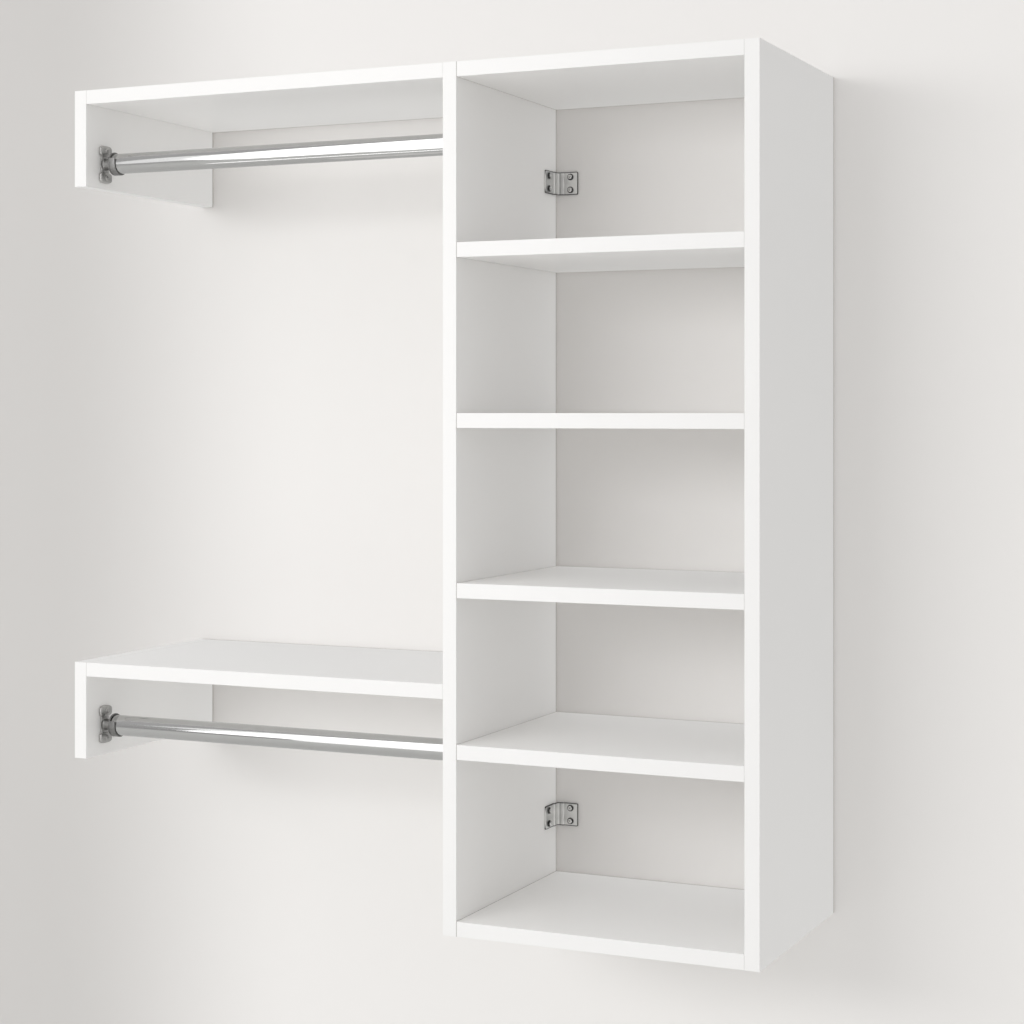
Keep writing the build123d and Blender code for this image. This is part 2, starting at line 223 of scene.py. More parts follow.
# Hanging shelves: the same board again, cam-locked between the tower and the end panels. The painted
# shade lines at their ends are fainter.
hanging_inner_faces = (-756.0, -209.0)
hanging_joint_shades = list(zip(hanging_inner_faces, (0.4, 0.1)))
hanging_boards = ["upper_hanging_shelf", "lower_hanging_shelf"]
dress(melamine("melamine_hanging_shelf", hanging_joint_shades), hanging_boards)

# Edge bands: a white plastic strip, one millimetre thick, glued on every front edge with a hot roller and
# scraped to a small bevel. It is a little smoother than the melamine and shines less.
band_white = (0.895, 0.889, 0.881)
band_shade = (0.880, 0.874, 0.866)


def edge_band(name, joint_shades=()):
    """White plastic strip: long faint roller waves along it, and a painted hairline of shade where two
    strips meet.
    """
    finish, tree, surface = new_finish(name, band_white, shine=0.3)
    place, (x, y, _) = object_place(tree)
    waves = noise(tree, place, 22.0, 2.0)
    grain = noise(tree, place, 1400.0, 2.0, 0.6)
    colour = with_painted_joint_shade(tree, tint(tree, waves, band_shade, band_white), x, y, joint_shades)
    feed(tree, surface, "Base Color", colour)
    feed(tree, surface, "Roughness", waves * 0.08 + 0.30)
    raise_surface(tree, surface, waves * 0.7 + grain * 0.3, 0.03 * MM, 0.5)
    return finish


for finish, boards in ((edge_band("band_upright"), standing_boards),
                       (edge_band("band_tower_shelf", tower_joint_shades), tower_boards),
                       (edge_band("band_hanging_shelf", hanging_joint_shades), hanging_boards)):
    dress(finish, [f"{board}_edge_band" for board in boards])

# Cam bolts and dowels: hidden in the boards. The bolts are bare turned steel, the dowels fluted beech.
bolt_tones = (0.52, 0.52, 0.51), (0.66, 0.66, 0.65)
bolt_steel, tree, surface = new_finish("bolt_steel", (0.62, 0.62, 0.61), metal=1.0)
place, _ = object_place(tree)
scuffs = noise(tree, place, 420.0, 3.0)
feed(tree, surface, "Base Color", tint(tree, scuffs, *bolt_tones))
feed(tree, surface, "Roughness", scuffs * 0.2 + 0.28)
dress(bolt_steel, ["cam_bolts"])

beech_tones = (0.60, 0.43, 0.27), (0.76, 0.60, 0.42)
beech, tree, surface = new_finish("beech", (0.70, 0.53, 0.36))
place, _ = object_place(tree)
stretched = Value.node(tree, "ShaderNodeMapping", inputs={"Vector": place, "Scale": (0.12, 1.0, 1.0)})
grain = noise(tree, stretched, 700.0, 4.0, 0.6)
feed(tree, surface, "Base Color", tint(tree, grain, *beech_tones))
feed(tree, surface, "Roughness", grain * 0.15 + 0.55)
raise_surface(tree, surface, grain, 0.15 * MM, 0.5)
dress(beech, ["dowels"])

# Hanging rods: drawn steel tube, chromed to a mirror, cut square with the lips broken by a file.
# They lie in their cradles and lift straight out.
rod_radius = 14.0
rod_bore = 12.8
rod_lip = 0.35
rod_left_x = -735.5
rod_right_x = -212.5
rod_y = -279.0
rod_heights = {"upper": 465.5, "lower": -313.0}
rod_columns = 192
lip_shade_fade = (0.6, 1.3)
cradle_shade = 0.4
cradle_shade_fade = (8.4, 9.2)
chrome_tones = (0.57, 0.57, 0.565), (0.61, 0.61, 0.605)
chrome_shade = (0.05, 0.05, 0.05)
X, Y, Z = np.eye(3)


def circle_turns(count):
    """Equal turns round a circle, in radians, without the last."""
    return np.linspace(0.0, 2.0 * np.pi, count, endpoint=False)


def circle(turns, side, up):
    """Points of a circle of radius one in the plane of side and up, at these turns."""
    return np.cos(turns)[:, None] * side + np.sin(turns)[:, None] * up


def turned(radii, heights, count, origin, out, side):
    """Profile turned round an axis: each row is one circle of that radius, at that height along out."""
    ring = circle(circle_turns(count), side, np.cross(out, side))
    return origin + heights[:, None, None] * out + radii[:, None, None] * ring[None]


def make_piece(name, shells, finish, sharp_degrees=40.0):
    """One mesh from closed grids: rows run along the shape, columns join round it, ends close to a pole.

    A grid point has three coordinates and may have a fourth number, which the mesh keeps as its painted
    shade.
    """
    points, faces, start = [], [], 0
    for shell in shells:
        rows, columns, width = shell.shape
        index = start + np.arange(rows * columns).reshape(rows, columns)
        round_again = np.roll(index, -1, axis=1)
        quads = np.stack([index[:-1], round_again[:-1], round_again[1:], index[1:]], axis=-1)
        points.append(shell.reshape(-1, width))
        faces.append(quads.reshape(-1, 4))
        start += rows * columns
    points = np.concatenate(points)
    mesh = bpy.data.meshes.new(name)
    mesh.from_pydata(points[:, :3] * MM, [], np.concatenate(faces))
    if points.shape[1] > 3:
        mesh.attributes.new("painted_shade", "FLOAT", "POINT").data.foreach_set("value", points[:, 3].copy())
    work = bmesh.new()
    work.from_mesh(mesh)
    bmesh.ops.remove_doubles(work, verts=work.verts, dist=0.002 * MM)
    bmesh.ops.dissolve_degenerate(work, edges=work.edges, dist=0.001 * MM)
    bmesh.ops.recalc_face_normals(work, faces=work.faces)
    work.to_mesh(mesh)
    work.free()
    mesh.shade_smooth()
    mesh.set_sharp_from_angle(angle=np.radians(sharp_degrees))
    mesh.materials.append(finish)
    piece = bpy.data.objects.new(name, mesh)
    bpy.context.collection.objects.link(piece)
    return piece


def stand_for(piece, node, body):
    """The piece replaces a CAD node, which is hidden, and rides on its body."""
    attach(piece, body)
    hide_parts(node)


def with_painted_shade(shell, painted_shade):
    """The grid with its painted shade as a fourth number."""
    return np.concatenate([shell, np.broadcast_to(painted_shade, shell.shape[:2])[..., None]], axis=-1)


def shaded_by_mesh(tree, colour, shaded, start, end):
    """The colour, darker where the mesh's painted shade goes from start to end: on edges, lips, creases,
    rims and recesses.
    """
    # Painted shade, read from the mesh.
    painted_shade = Value.node(tree, "ShaderNodeAttribute", {"attribute_name": "painted_shade"}, output="Fac")
    return tint(tree, ((painted_shade - start) / (end - start)).clamped(), colour, shaded)


def smooth_step(distance, start, end):
    """Rises from nought to one between start and end, level at both."""
    share = np.clip((distance - start) / (end - start), 0.0, 1.0)
    return share * share * (3.0 - 2.0 * share)


def rod_tube(z):
    """Tube wall as one closed profile: outside, rounded lip, bore and lip again. Its painted shade is full
    on the lips and less over the end that lies in the cradle."""
    turn = np.linspace(0.0, np.pi / 2, 5)
    lip_out = rod_radius - rod_lip + rod_lip * np.cos(turn)
    lip_in = rod_bore + rod_lip - rod_lip * np.cos(turn[::-1])
    reach_out = rod_lip * (1.0 - np.sin(turn))
    reach_in = rod_lip * (1.0 - np.sin(turn[::-1]))
    length = rod_right_x - rod_left_x
    near_end = np.array([0.6, 0.95, 1.3, 1.7, 8.4, 8.8, 9.2])
    spans = np.concatenate([near_end, np.linspace(0.0, length, 22)[1:-1], length - near_end[::-1]])
    radii = np.concatenate([lip_in, lip_out[::-1], np.full(len(spans), rod_radius), lip_out, lip_in[::-1],
                            [lip_in[0]]])
    heights = np.concatenate([reach_in, reach_out[::-1], spans, length - reach_out,
                              length - reach_in[::-1], [reach_in[0]]])
    tube = turned(radii, heights, rod_columns, np.array([rod_left_x, rod_y, z]), X, Y)
    from_end = np.minimum(heights, length - heights)
    # Painted shade: near black on the lips, and partly dark over the end that lies in the cradle.
    painted_shade = np.maximum(1.0 - smooth_step(from_end, *lip_shade_fade),
                      cradle_shade - cradle_shade * smooth_step(from_end, *cradle_shade_fade))
    return with_painted_shade(tube, painted_shade[:, None])


chrome, tree, surface = new_finish("rod_chrome", (0.59, 0.59, 0.585), metal=1.0)
place, _ = object_place(tree)
along = Value.node(tree, "ShaderNodeMapping", inputs={"Vector": place, "Scale": (0.05, 1.0, 1.0)})
draw_lines = noise(tree, along, 900.0, 3.0, 0.6)
haze = noise(tree, place, 26.0, 3.0)
feed(tree, surface, "Base Color", shaded_by_mesh(tree, tint(tree, haze, *chrome_tones), chrome_shade, 0.2, 0.8))
feed(tree, surface, "Roughness", haze * 0.03 + draw_lines * 0.02 + 0.05)
raise_surface(tree, surface, draw_lines, 0.004 * MM, 0.3)
for level, z in rod_heights.items():
    stand_for(make_piece(f"{level}_rod_tube", [rod_tube(z)], chrome), f"{level}_rod", f"{level}_rod")

# Rod sockets: zinc castings under satin nickel. On the end panels two thick rounded ears take the screws,
# a thin waist joins them, and a neck carries the open cradle for the rod. On the upright the cradle sits
# straight on a wide flange.
flange_thickness = 3.0
ear_offset = 18.5
ear_half_height = 7.5
ear_half_width = 13.0
ear_thickness = 5.6
ear_width_power = 3.2
ear_thickness_power = 4.5
ear_rounding = 2.4
waist_half_width = 8.0
waist_rounding = 0.8
neck_radius = 7.5
neck_fillet = 2.5
neck_sink = 0.3
back_start = 17.6
back_end = 20.0
back_rounding = 0.6
cradle_length = 9.0
cradle_inner = 14.06
cradle_outer = 16.0
cradle_rise = 7.0
cradle_rounding = 0.6
cradle_sink = 0.05
wide_half_width = 31.0
wide_half_height = 17.0
wide_bevel = 8.0
wide_rounding = 0.8
wide_hole_offset = 23.0
# Painted shade: the neck, the cradle's back and the cradle wall are painted darker, as the shade in the gap
# behind the rod's end.
neck_shade = 0.5
back_shade = 0.65
cradle_wall_shade = 0.58
nickel_tones = (0.48, 0.475, 0.465), (0.54, 0.535, 0.525)
nickel_shade = (0.06, 0.06, 0.06)
socket_places = [
    (f"{level}_{side}_rod_socket", np.array([x, rod_y, z]), way)
    for level, z in rod_heights.items()
    for side, x, way in zip(("left", "right"), hanging_inner_faces, (X, -X))
]
corner_turns = (np.arange(4)[:, None] * (np.pi / 2) + np.linspace(0.0, np.pi / 2, 5)).ravel()


def rounded_sections(half_width, low, high, rounding):
    """Closed loops, one to a station: a rectangle from minus to plus the half width and from low to high,
    its corners quarter circles of the rounding's radius."""
    right = np.repeat([1.0, 0.0, 0.0, 1.0], 5)
    top = np.repeat([1.0, 1.0, 0.0, 0.0], 5)
    half_width, low, high, rounding = (np.asarray(v, float)[:, None] for v in (
        half_width, low, high, rounding))
    fit = np.minimum(rounding, np.minimum(half_width, (high - low) / 2))
    across = np.where(right > 0, half_width - fit, fit - half_width) + fit * np.cos(corner_turns)
    above = np.where(top > 0, high - fit, low + fit) + fit * np.sin(corner_turns)
    return across, above


def closed(loops):
    """The loops with one more at each end, drawn together in the middle of the last."""
    middles = loops.mean(axis=1, keepdims=True) + np.zeros_like(loops)
    return np.concatenate([middles[:1], loops, middles[-1:]])


def carried(path, side, lift, half_width, low, high, rounding):
    """Rounded sections carried along a path: each loop lies across the path, wide along side, high along
    lift. Both ends close to their middles."""
    count = len(path)
    side, lift = np.broadcast_to(side, (count, 3)), np.broadcast_to(lift, (count, 3))
    full = [np.broadcast_to(v, count) for v in (half_width, low, high, rounding)]
    across, above = rounded_sections(*full)
    return closed(path[:, None] + across[..., None] * side[:, None] + above[..., None] * lift[:, None])


def bulge(distance, reach, power):
    """Superellipse: one in the middle, nought at the reach, flatter for a higher power."""
    inside = np.clip(1.0 - np.abs(distance / reach) ** power, 0.0, None)
    return inside ** (1.0 / power)


def eared_flange(origin, way):
    """A section swept up the flange's height: an ear's width and thickness are superellipses round its
    middle, and between the ears the waist's width and thickness are the least."""
    top = ear_offset + ear_half_height - 0.01
    height = np.sin(np.linspace(-np.pi / 2, np.pi / 2, 161)) * top
    ear_foot = ear_offset - ear_half_height
    near_foot = np.linspace(ear_foot - 0.5, ear_foot + 1.0, 25)
    height = np.unique(np.concatenate([height, -near_foot[::-1], near_foot]))
    from_ear = np.abs(np.abs(height) - ear_offset)
    on_waist = np.abs(height) < ear_offset
    ear_width = ear_half_width * bulge(from_ear, ear_half_height, ear_width_power)
    ear_depth = ear_thickness * bulge(from_ear, ear_half_height, ear_thickness_power)
    return carried(
        origin + height[:, None] * Z, Y, way,
        np.maximum(ear_width, np.where(on_waist, waist_half_width, 0.0)),
        0.0,
        np.maximum(ear_depth, np.where(on_waist, flange_thickness, 0.0)),
        np.where(from_ear < ear_half_height, ear_rounding, waist_rounding))


def neck_and_back(origin, way):
    """A neck turned with a quarter-circle fillet at each end, and the cradle's back: a thick disc with
    rounded edges, as wide as the cradle."""
    fillet = np.linspace(0.0, np.pi / 2, 7)
    flare = neck_radius + neck_fillet * (1 - np.sin(fillet))
    rise = neck_fillet * (1 - np.cos(fillet))
    neck_radii = np.concatenate([[0.0], flare, flare[::-1], [0.0]])
    neck_heights = np.concatenate([[flange_thickness - 1.0], flange_thickness - neck_sink + rise,
                                   back_start + neck_sink - rise[::-1], [back_start + 1.0]])
    neck = turned(neck_radii, neck_heights, 64, origin, way, Y)
    ease = back_rounding * (1.0 - np.cos(fillet))
    rim = back_rounding * (1.0 - np.sin(fillet))
    back = turned(np.concatenate([[0.0], cradle_outer - rim, cradle_outer - rim[::-1], [0.0]]),
                  np.concatenate([[back_start], back_start + ease, back_end - ease[::-1], [back_end]]),
                  128, origin, way, Y)
    return neck, back


def drawn_in(distance, radius):
    """How far an edge draws in near an end that is rounded by a quarter circle of this radius."""
    short = np.clip(radius - distance, 0.0, radius)
    return radius - np.sqrt(radius ** 2 - short ** 2)


def cradle_wall(origin, way, start):
    """A rounded section carried down one arm, round the half circle under the rod, and up the other arm."""
    middle = start + cradle_length / 2
    arm = cradle_rise * np.sin(np.linspace(np.pi / 2, 0.0, 15))
    bend = np.linspace(0.0, np.pi, 65)[1:-1]
    wall_y = np.concatenate([np.full(len(arm), -1.0), -np.cos(bend), np.full(len(arm), 1.0)])
    wall_z = np.concatenate([arm, -np.sin(bend) * cradle_inner, arm[::-1]])
    under = -np.cos(bend)[:, None] * Y - np.sin(bend)[:, None] * Z
    outward = np.concatenate([np.tile(-Y, (len(arm), 1)), under, np.tile(Y, (len(arm), 1))])
    arm_ease = drawn_in(cradle_rise - arm, cradle_rounding)
    ease = np.concatenate([arm_ease, np.zeros(len(bend)), arm_ease[::-1]])
    path = origin + middle * way + cradle_inner * wall_y[:, None] * Y + wall_z[:, None] * Z
    return carried(path, way, outward, cradle_length / 2 - ease, ease, cradle_outer - cradle_inner - ease,
                   cradle_rounding)


def wide_flange(origin, way):
    """A section swept up a plate whose half width falls by the bevel near its top and bottom, with
    rounded edges."""
    height = np.sin(np.linspace(-np.pi / 2, np.pi / 2, 121)) * wide_half_height
    width = wide_half_width - np.clip(np.abs(height) - (wide_half_height - wide_bevel), 0.0, None)
    ease = drawn_in(wide_half_height - np.abs(height), wide_rounding)
    return carried(origin + height[:, None] * Z, Y, way, width - ease, 0.0, flange_thickness - ease,
                   wide_rounding)


def socket_shells(origin, way):
    """The closed grids of one casting. The kind that faces right has ears, a neck and a round back."""
    if way[0] > 0:
        neck, back = neck_and_back(origin, way)
        wall = cradle_wall(origin, way, back_end - cradle_sink)
        return [with_painted_shade(eared_flange(origin, way), 0.0), with_painted_shade(neck, neck_shade),
                with_painted_shade(back, back_shade), with_painted_shade(wall, cradle_wall_shade)]
    wall = cradle_wall(origin, way, flange_thickness - cradle_sink)
    return [with_painted_shade(wide_flange(origin, way), 0.0), with_painted_shade(wall, cradle_wall_shade)]


nickel, tree, surface = new_finish("satin_nickel", (0.50, 0.495, 0.485), metal=1.0)
place, _ = object_place(tree)
casting = noise(tree, place, 520.0, 3.0, 0.55)
cloud = noise(tree, place, 60.0, 2.0)
feed(tree, surface, "Base Color", shaded_by_mesh(tree, tint(tree, cloud, *nickel_tones), nickel_shade, 0.3, 0.8))
feed(tree, surface, "Roughness", casting * 0.08 + 0.40)
raise_surface(tree, surface, casting, 0.03 * MM, 0.4)
for name, origin, way in socket_places:
    stand_for(make_piece(f"{name}_casting", socket_shells(origin, way), nickel), name, "frame")

# Wall brackets: two-millimetre steel strip, punched, stepped beside the bend and folded round the corner
# of board and wall. Zinc plated after pressing, so its edges are soft. Painted shade darkens its cut edges,
# its creases and the wall leg's end.
strip_thickness = 2.0
strip_half_width = 16.0
strip_bend = 4.6
strip_step = 1.6
strip_end_rounding = 0.5
strip_corner = 1.6
strip_columns = 72
section_power = 0.2
panel_leg = 42.0
wall_leg = 33.0
panel_step_run = (12.4, 13.8)
wall_step_run = (10.3, 11.5)
panel_creases = [(13.9, 1.1)]
wall_creases = [(7.0, 0.9), (11.5, 1.0)]
crease_power = 1.5
crease_shade = 0.8
end_shade_run = (0.5, 1.4)
zinc_tones = (0.81, 0.81, 0.80), (0.89, 0.89, 0.88)
zinc_shade = (0.09, 0.09, 0.09)
tower_left_face, tower_right_face = tower_inner_faces
tower_bracket_z = 440.5
shelf_bracket_x = -686.0
rack_top_z = 563.5
lower_shelf_underside_z = -242.0
bracket_places = [
    ("tower_top_left_bracket", (tower_left_face, 0.0, tower_bracket_z), X, -Z),
    ("tower_top_right_bracket", (tower_right_face, 0.0, tower_bracket_z), -X, Z),
    ("tower_bottom_left_bracket", (tower_left_face, 0.0, -tower_bracket_z), X, -Z),
    ("tower_bottom_right_bracket", (tower_right_face, 0.0, -tower_bracket_z), -X, Z),
    ("upper_shelf_bracket", (shelf_bracket_x, 0.0, rack_top_z), Z, X),
    ("lower_shelf_bracket", (shelf_bracket_x, 0.0, lower_shelf_underside_z), -Z, -X),
]


def creased(distance, creases):
    """A narrow superellipse at each crease, added up."""
    return sum(bulge(distance - at, reach, crease_power) for at, reach in creases)


def bracket_shell(corner, along, bend_axis):
    """A superellipse section carried along the strip's inner face: down the board's leg, over its step,
    round the bend, over the other step and out along the wall. Its painted shade is full on the cut edges
    and at the wall leg's end, and part of that in the creases. Stations stand close together wherever the
    strip turns or darkens."""
    fine = np.array([0.0, 0.03, 0.1, 0.2, 0.35, 0.5, 0.8, 1.2, 1.8])
    leg = np.concatenate([panel_leg - fine, np.linspace(39.0, 14.8, 12), np.linspace(14.4, 12.2, 12),
                          np.linspace(11.5, strip_step + strip_bend + 0.3, 5)])
    out = np.concatenate([np.linspace(6.4, 7.6, 9), np.linspace(8.0, 9.4, 4), np.linspace(9.7, 12.3, 20),
                          np.linspace(12.8, 30.0, 9), wall_leg - fine[::-1]])
    turn = np.linspace(0.0, np.pi / 2, 17)
    bend_a = strip_step + strip_bend - strip_bend * np.cos(turn)
    bend_b = strip_step + strip_bend - strip_bend * np.sin(turn)
    a = np.concatenate([strip_step * (1.0 - smooth_step(leg, *panel_step_run)), bend_a, out])
    b = np.concatenate([leg, bend_b, strip_step * (1.0 - smooth_step(out, *wall_step_run))])
    off = -Y
    path = np.asarray(corner) + a[:, None] * along + b[:, None] * off
    run = np.concatenate([[0.0], np.cumsum(np.hypot(np.diff(a), np.diff(b)))])
    slope_a, slope_b = np.gradient(a, run), np.gradient(b, run)
    size = np.hypot(slope_a, slope_b)
    lift = (-slope_b / size)[:, None] * along + (slope_a / size)[:, None] * off
    to_wall_end = run[-1] - run
    from_end = np.minimum(run, to_wall_end)
    turns = circle_turns(strip_columns)
    across, above = (
        np.sign(part) * np.abs(part) ** section_power for part in (np.cos(turns), np.sin(turns)))
    half_width = strip_half_width - drawn_in(from_end, strip_corner)
    half_thickness = strip_thickness / 2 - drawn_in(from_end, strip_end_rounding)
    strip = closed(path[:, None] + (half_width[:, None] * across)[..., None] * bend_axis
                   + (strip_thickness / 2 + half_thickness[:, None] * above)[..., None] * lift[:, None])
    crease = np.concatenate([creased(leg, panel_creases), np.zeros(len(turn)), creased(out, wall_creases)])
    # Painted shade in the creases and at the wall leg's end; the cut edges take it from the section's
    # sides.
    shaded = np.maximum(crease_shade * crease, 1.0 - smooth_step(to_wall_end, *end_shade_run))
    shaded = np.concatenate([shaded[:1], shaded, shaded[-1:]])[:, None]
    return with_painted_shade(strip, np.maximum(np.abs(np.cos(turns)), shaded))


zinc, tree, surface = new_finish("zinc_plate", (0.85, 0.85, 0.84), metal=1.0)
place, _ = object_place(tree)
plating = noise(tree, place, 240.0, 3.0)
smear = noise(tree, place, 55.0, 3.0)
feed(tree, surface, "Base Color", shaded_by_mesh(tree, tint(tree, smear, *zinc_tones), zinc_shade, 0.55, 0.80))
feed(tree, surface, "Roughness", plating * 0.14 + 0.26)
raise_surface(tree, surface, plating, 0.03 * MM, 0.4)
for name, corner, along, bend_axis in bracket_places:
    stand_for(make_piece(f"{name}_strip", [bracket_shell(corner, along, bend_axis)], zinc), name, "frame")

# Screws: cold-headed steel, zinc plated, with a low pan head and a pressed cross. The ones into the wall
# have a rolled thread behind it, the others are buried in the boards.
bracket_head = (4.6, 2.8)
socket_head = (4.0, 1.7)
board_shank = (2.0, 15.0)
wall_shank = (1.8, 4.0)
socket_shank = (1.75, 16.0)
head_columns = 64
dome_power = 0.72
cross_depth = 0.62
cross_shade = 0.63
socket_rim_shade = 0.25
hole_half_pitch = 9.0
board_hole_out = 31.0
wall_hole_out = 22.0
thread_pitch = 1.8
thread_core = 1.55
thread_crest = 2.25
thread_length = 43.0
thread_point = 5.0
thread_columns = 32
head_tones = (0.86, 0.86, 0.85), (0.94, 0.94, 0.93)
head_shade = (0.07, 0.07, 0.07)


def cross_recess(across, along, radius):
    """Depth share of a pressed cross: each bar is full inside its length and half width, with sloped
    walls, and the two bars meet in the middle."""
    def bar(long, short):
        return (np.clip((0.46 * radius - np.abs(long)) / (0.10 * radius), 0.0, 1.0)
                * np.clip((0.16 * radius - np.abs(short)) / (0.07 * radius), 0.0, 1.0))
    return np.maximum(bar(across, along), bar(along, across))


def crossed_disc(radii, heights, pressed, cross_radius, depth, origin, out, ring):
    """A profile turned round an axis by a ring of directions, with a cross pressed to a depth into its
    last rows. Gives the grid, and the cross's share of the depth at each point."""
    turns = circle_turns(len(ring))
    across = radii[:, None] * np.cos(turns)
    over = radii[:, None] * np.sin(turns)
    on_face = (np.arange(len(radii)) >= len(radii) - pressed)[:, None]
    cross = cross_recess(across, over, cross_radius) * on_face
    level = heights[:, None] - depth * cross
    return origin + level[..., None] * out + radii[:, None, None] * ring[None], cross


def pan_head(radius, height, shank_radii, shank_heights, origin, out, side, turn, rim_shade=1.0):
    """A screw turned from its tip: shank, flat underside, upright rim, superellipse dome with the cross
    pressed into it. Its painted shade grows with the distance from the axis and is part of that in the
    cross."""
    dome = np.linspace(0.0, np.pi / 2, 27)
    rim = 0.22 * height
    radii = np.concatenate([shank_radii, [radius - 0.15, radius], radius * np.cos(dome) ** dome_power])
    heights = np.concatenate([shank_heights, [0.0, 0.15], rim + (height - rim) * np.sin(dome)])
    radii[-1] = 0.0
    ring = circle(circle_turns(head_columns) + turn, side, np.cross(out, side))
    head, cross = crossed_disc(radii, heights, len(dome), radius, cross_depth * height, origin, out, ring)
    return with_painted_shade(head, rim_shade * np.maximum(radii[:, None] / radius, cross_shade * cross))


def plain_shank(radius, length):
    """Profile of a shank from its pole to the head's underside, with a tapered tip."""
    return (np.array([0.0, radius * 0.5, radius, radius]),
            np.array([-length, -length, -length + 2.0, -0.01]))


def threaded_screw(origin, out, side):
    """A wall screw's shank behind the wall: a core whose radius rises to a thread once in every pitch,
    the thread running round as a helix and fading into a point."""
    along = np.linspace(0.0, thread_length, 161)
    turns = circle_turns(thread_columns)
    phase = (along[:, None] / thread_pitch - turns[None] / (2 * np.pi)) % 1.0
    ridge = np.clip(1.0 - np.abs(phase - 0.5) / 0.28, 0.0, 1.0)
    point = np.clip((thread_length - along) / thread_point, 0.02, 1.0)[:, None] ** 0.8
    start = np.clip(along / 2.0, 0.0, 1.0)[:, None]
    radius = (thread_core + (thread_crest - thread_core) * ridge * start) * point
    ring = circle(turns, side, np.cross(out, side))
    shank = origin - (strip_thickness + along)[:, None, None] * out + radius[..., None] * ring[None]
    return with_painted_shade(closed(shank), 0.0)


screw_steel, tree, surface = new_finish("screw_steel", (0.90, 0.90, 0.89), metal=1.0)
place, _ = object_place(tree)
scratch = noise(tree, place, 650.0, 3.0)
# Painted shade: a dark ring at the rim of each head and part of that in its cross. The socket screws take
# too little of it to darken.
feed(tree, surface, "Base Color", shaded_by_mesh(tree, tint(tree, scratch, *head_tones), head_shade, 0.60, 0.72))
feed(tree, surface, "Roughness", scratch * 0.14 + 0.18)
raise_surface(tree, surface, scratch, 0.02 * MM, 0.4)

board_screws, wall_screws, socket_screws = [], [], []
cross_turns = np.linspace(0.1, 1.5, 12)
for number, (_, corner, along, bend_axis) in enumerate(bracket_places):
    corner = np.asarray(corner)
    for side_number, pitch in enumerate((-hole_half_pitch, hole_half_pitch)):
        turn = cross_turns[(2 * number + side_number) % len(cross_turns)]
        on_board = corner + strip_thickness * along - board_hole_out * Y + pitch * bend_axis
        board_screws.append(pan_head(*bracket_head, *plain_shank(*board_shank), on_board, along,
                                     bend_axis, turn))
        on_wall = corner - strip_thickness * Y + wall_hole_out * along + pitch * bend_axis
        wall_screws.append(pan_head(*bracket_head, *plain_shank(*wall_shank), on_wall, -Y, bend_axis,
                                    1.5 - turn))
        wall_screws.append(threaded_screw(on_wall, -Y, bend_axis))
for number, (_, origin, way) in enumerate(socket_places):
    eared, wide = ear_offset * Z + ear_thickness * way, wide_hole_offset * Y + flange_thickness * way
    seat = eared if way[0] > 0 else wide
    for side_number, side in enumerate((-1.0, 1.0)):
        hole = origin + seat * np.where(np.abs(way) > 0, 1.0, side)
        turn = cross_turns[(3 * number + 5 * side_number) % len(cross_turns)]
        socket_screws.append(pan_head(*socket_head, *plain_shank(*socket_shank), hole, way, Y, turn,
                                      rim_shade=socket_rim_shade))
for name, shells, finish in (("bracket_screws", board_screws, screw_steel),
                             ("wall_screws", wall_screws, screw_steel),
                             ("socket_screws", socket_screws, nickel)):
    stand_for(make_piece(f"{name}_pan_head", shells, finish, 30.0), name, "frame")

# Cam locks: zinc discs turned with a driver to draw the boards together, with a thin rim that covers
# the edge of the bore. They lie on the hidden faces of the boards.
cam_radius = 7.5
cam_depth = 12.9
cam_rim_radius = 8.1
cam_rim_rounding = 0.2
cam_rim_height = 0.3
cam_cross_depth = 1.6
cam_columns = 72
cam_setback = 24.0
tower_cam_ys = (-280.0, -40.0)
hanging_cam_ys = (-248.0, -72.0)
rack_underside_z = -540.5
cam_rows = [
    (tower_inner_faces, rack_underside_z, -Z, tower_cam_ys),
    (tower_inner_faces, rack_top_z, Z, tower_cam_ys),
    (hanging_inner_faces, rack_top_z, Z, hanging_cam_ys),
    (hanging_inner_faces, lower_shelf_underside_z, -Z, hanging_cam_ys),
]
cam_tones = (0.50, 0.50, 0.50), (0.66, 0.66, 0.66)


def cam_disc(origin, out, turn):
    """A low disc turned from below: body, rim with a rounded edge, flat face with the cross pressed in."""
    edge = np.linspace(0.0, np.pi / 2, 5)
    face = np.linspace(cam_rim_radius, 0.0, 24)[1:]
    radii = np.concatenate([[0.0, cam_radius, cam_radius, cam_rim_radius + cam_rim_rounding],
                            cam_rim_radius + cam_rim_rounding * np.cos(edge), face])
    heights = np.concatenate([[-cam_depth, -cam_depth, 0.0, 0.0],
                              cam_rim_height - cam_rim_rounding * (1.0 - np.sin(edge)),
                              np.full(len(face), cam_rim_height)])
    ring = circle(circle_turns(cam_columns) + turn, X, Y)
    return crossed_disc(radii, heights, len(face), cam_radius, cam_cross_depth, origin, out, ring)[0]


cam_zinc, tree, surface = new_finish("cam_zinc", (0.60, 0.60, 0.60), metal=1.0)
place, _ = object_place(tree)
pits = noise(tree, place, 700.0, 4.0, 0.6)
feed(tree, surface, "Base Color", tint(tree, pits, *cam_tones))
feed(tree, surface, "Roughness", pits * 0.2 + 0.32)
raise_surface(tree, surface, pits, 0.06 * MM, 0.5)
discs = []
for (left, right), z, out, ys in cam_rows:
    for x in (left + cam_setback, right - cam_setback):
        for y in ys:
            discs.append(cam_disc(np.array([x, y, z]), out, 0.4 + len(discs) * 0.7))
stand_for(make_piece("cam_lock_discs", discs, cam_zinc), "cam_locks", "frame")

